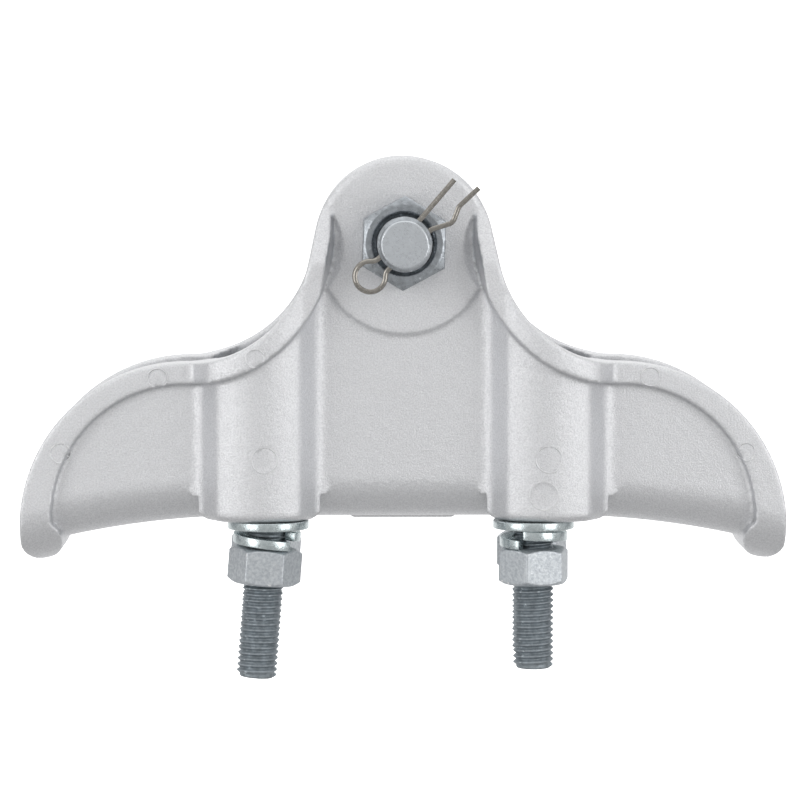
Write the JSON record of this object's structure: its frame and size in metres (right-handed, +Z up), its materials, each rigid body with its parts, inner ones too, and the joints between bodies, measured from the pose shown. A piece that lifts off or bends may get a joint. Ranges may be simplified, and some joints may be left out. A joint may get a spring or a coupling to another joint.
{
  "type": "conductor suspension clamp",
  "caption": "Boat-shaped cast suspension clamp that hangs a round overhead conductor from a cross bolt between two ears, with a keeper held down by U-bolts.",
  "frame": {"origin": "centre of the suspension bolt's axis, midway between the two ears", "axes": "+X along the conductor, -Y towards the nut and split pin, +Z up"},
  "size_m": [0.2266, 0.0815, 0.1545],
  "materials": {
    "hull_cast": "shot-blasted die casting, light grey",
    "keeper_cast": "shot-blasted casting",
    "galvanised_stud": "hot-dip galvanised, dull",
    "galvanised_nut": "hot-dip galvanised, pale and matte",
    "bright_zinc": "bright zinc plated",
    "zinc_bolt": "galvanised, smooth",
    "stainless_wire": "stainless spring wire"
  },
  "bodies": {
    "hull": {"hull": "hull_cast", "flat_washer_front_left": "bright_zinc", "spring_washer_front_left": "bright_zinc", "flat_washer_rear_left": "bright_zinc", "spring_washer_rear_left": "bright_zinc", "flat_washer_front_right": "bright_zinc", "spring_washer_front_right": "bright_zinc", "flat_washer_rear_right": "bright_zinc", "spring_washer_rear_right": "bright_zinc"},
    "keeper": {"keeper": "keeper_cast"},
    "u_bolt_left": {"u_bolt_left": "galvanised_stud"},
    "u_bolt_right": {"u_bolt_right": "galvanised_stud"},
    "hex_nut_front_left": {"hex_nut_front_left": "galvanised_nut"},
    "hex_nut_rear_left": {"hex_nut_rear_left": "galvanised_nut"},
    "hex_nut_front_right": {"hex_nut_front_right": "galvanised_nut"},
    "hex_nut_rear_right": {"hex_nut_rear_right": "galvanised_nut"},
    "suspension_bolt": {"suspension_bolt": "zinc_bolt", "suspension_nut": "zinc_bolt", "split_pin": "stainless_wire"}
  },
  "joints": [
    {"name": "u_bolt_left_lift", "type": "slide", "parent": "hull", "child": "u_bolt_left", "axis": [0.0784, 0.0012, 0.9969], "range_m": [0, 0.02]},
    {"name": "u_bolt_right_lift", "type": "slide", "parent": "hull", "child": "u_bolt_right", "axis": [0, 0, 1], "range_m": [0, 0.02]},
    {"name": "keeper_lift", "type": "slide", "parent": "hull", "child": "keeper", "axis": [0, 0, 1], "range_m": [0, 0.02]},
    {"name": "hex_nut_front_left_turn", "type": "hinge", "parent": "hull", "child": "hex_nut_front_left", "pos_m": [-0.04106, -0.01951, -0.09556], "axis": [-0.0784, -0.0012, -0.9969], "range_deg": [0, 4116]},
    {"name": "hex_nut_rear_left_turn", "type": "hinge", "parent": "hull", "child": "hex_nut_rear_left", "pos_m": [-0.04167, 0.01948, -0.09556], "axis": [-0.0784, -0.0012, -0.9969], "range_deg": [0, 4116]},
    {"name": "hex_nut_front_right_turn", "type": "hinge", "parent": "hull", "child": "hex_nut_front_right", "pos_m": [0.0385, -0.01949, -0.0956], "axis": [0, 0, -1], "range_deg": [0, 4116]},
    {"name": "hex_nut_rear_right_turn", "type": "hinge", "parent": "hull", "child": "hex_nut_rear_right", "pos_m": [0.04, 0.01949, -0.0956], "axis": [0, 0, -1], "range_deg": [0, 4116]},
    {"name": "suspension_bolt_turn", "type": "hinge", "parent": "hull", "child": "suspension_bolt", "pos_m": [0, 0, 0], "axis": [0, 1, 0], "continuous": true}
  ],
  "couplings": [
    {"joint": "u_bolt_right_lift", "follows": "u_bolt_left_lift", "ratio": 1},
    {"joint": "keeper_lift", "follows": "u_bolt_left_lift", "ratio": 1},
    {"joint": "hex_nut_front_left_turn", "follows": "u_bolt_left_lift", "rad_per_m": 3590.4},
    {"joint": "hex_nut_rear_left_turn", "follows": "u_bolt_left_lift", "rad_per_m": 3590.4},
    {"joint": "hex_nut_front_right_turn", "follows": "u_bolt_left_lift", "rad_per_m": 3590.4},
    {"joint": "hex_nut_rear_right_turn", "follows": "u_bolt_left_lift", "rad_per_m": 3590.4}
  ]
}
